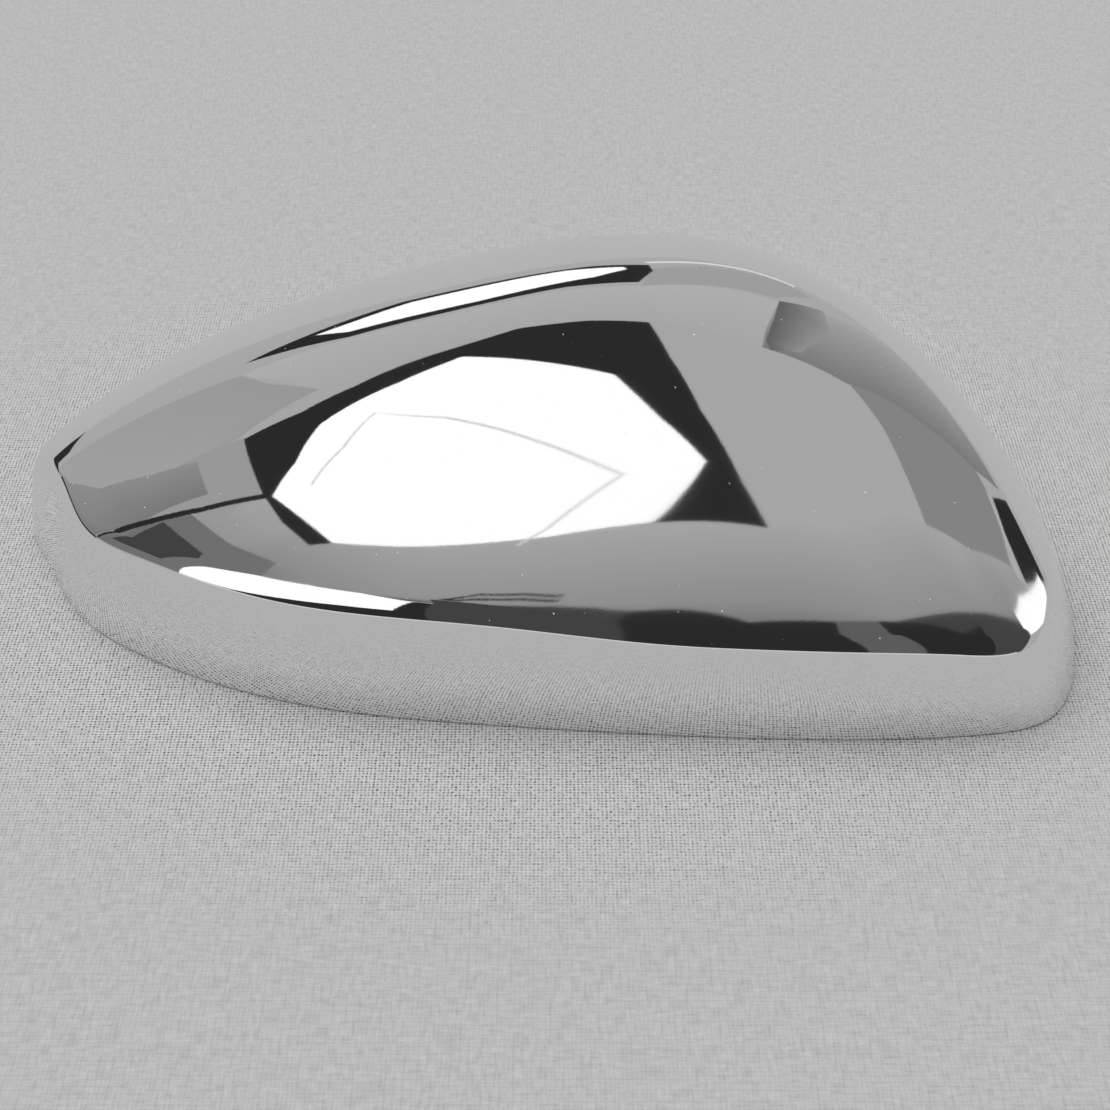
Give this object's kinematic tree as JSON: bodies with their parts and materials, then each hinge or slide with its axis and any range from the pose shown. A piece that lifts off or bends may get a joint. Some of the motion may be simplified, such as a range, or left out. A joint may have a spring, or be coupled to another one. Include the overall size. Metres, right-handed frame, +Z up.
{
  "type": "wing mirror cover",
  "caption": "Domed bright-plated cap, pointed at one end and open below, that snaps over the back of a car's wing mirror housing.",
  "frame": {"origin": "middle of the bounding box's base, on the plane of the flat rim", "axes": "+X from the pointed nose to the blunt end, +Y from the long straight edge to the curved far edge, +Z up through the crown"},
  "size_m": [0.2245, 0.143, 0.0602],
  "materials": {
    "chrome": "polished plating over moulded plastic"
  },
  "bodies": {
    "root": {"mirror_cover": "chrome"}
  },
  "joints": []
}
